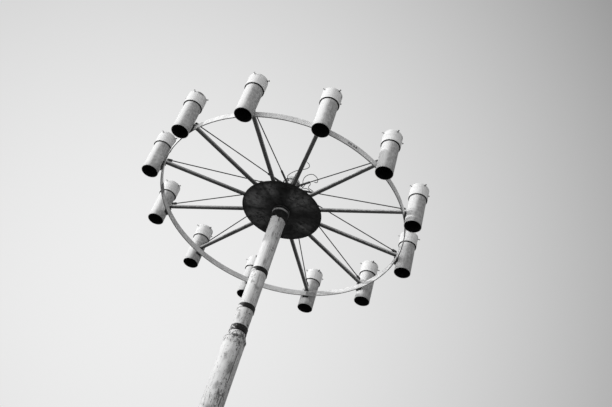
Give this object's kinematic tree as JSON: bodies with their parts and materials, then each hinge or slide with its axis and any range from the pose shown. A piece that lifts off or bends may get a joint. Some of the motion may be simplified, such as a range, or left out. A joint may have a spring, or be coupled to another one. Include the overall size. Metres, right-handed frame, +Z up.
{
  "type": "broken street lamp",
  "caption": "Tall stepped steel mast with a wheel of downlight cans on tube spokes and rod stays, lamps missing and cut wires at its head.",
  "frame": {"origin": "centre of the base flange's underside, on the ground", "axes": "+Z up along the mast; +X towards lamp 1; lamp 10 stands at -Y"},
  "size_m": [3.2336, 3.2451, 8.2991],
  "materials": {
    "dark_steel": "weathered dark paint, dull",
    "white_paint": "peeling white paint, streaked with dirt",
    "black_paint": "sooty black paint, blotched",
    "cap_paint": "white paint, satin",
    "rim_paint": "light grey paint, dull",
    "can_paint": "white paint, dirty",
    "holder_black": "matt",
    "black_rubber": "matt"
  },
  "bodies": {
    "root": {"base_flange": "dark_steel", "foot_ribs": "white_paint", "lower_tube": "white_paint", "access_door": "white_paint", "cone": "white_paint", "upper_tube": "white_paint", "mast_bands": "dark_steel", "hub_sleeve": "dark_steel", "hub_plate": "black_paint", "stay_collar": "dark_steel", "mast_lid": "cap_paint", "wire_glands": "black_rubber", "spokes": "dark_steel", "stays": "dark_steel", "rim_segment_1": "rim_paint", "rim_segment_2": "rim_paint", "rim_segment_3": "rim_paint", "rim_splices": "rim_paint", "lamp_brackets": "dark_steel", "lamp_holders": "holder_black", "cap_bolts": "dark_steel", "lamp_can_1": "can_paint", "lamp_can_2": "can_paint", "lamp_can_3": "can_paint", "lamp_can_4": "can_paint", "lamp_can_5": "can_paint", "lamp_can_6": "can_paint", "lamp_can_7": "can_paint", "lamp_can_8": "can_paint", "lamp_can_9": "can_paint", "lamp_can_10": "can_paint", "lamp_can_11": "can_paint", "lamp_can_12": "can_paint", "lamp_cap_1": "cap_paint", "lamp_cap_2": "cap_paint", "lamp_cap_3": "cap_paint", "lamp_cap_4": "cap_paint", "lamp_cap_5": "cap_paint", "lamp_cap_6": "cap_paint", "lamp_cap_7": "cap_paint", "lamp_cap_8": "cap_paint", "lamp_cap_9": "cap_paint", "lamp_cap_10": "cap_paint", "lamp_cap_11": "cap_paint", "lamp_cap_12": "cap_paint", "wire_1": "black_rubber", "wire_2": "black_rubber", "wire_3": "black_rubber", "wire_4": "black_rubber"}
  },
  "joints": []
}
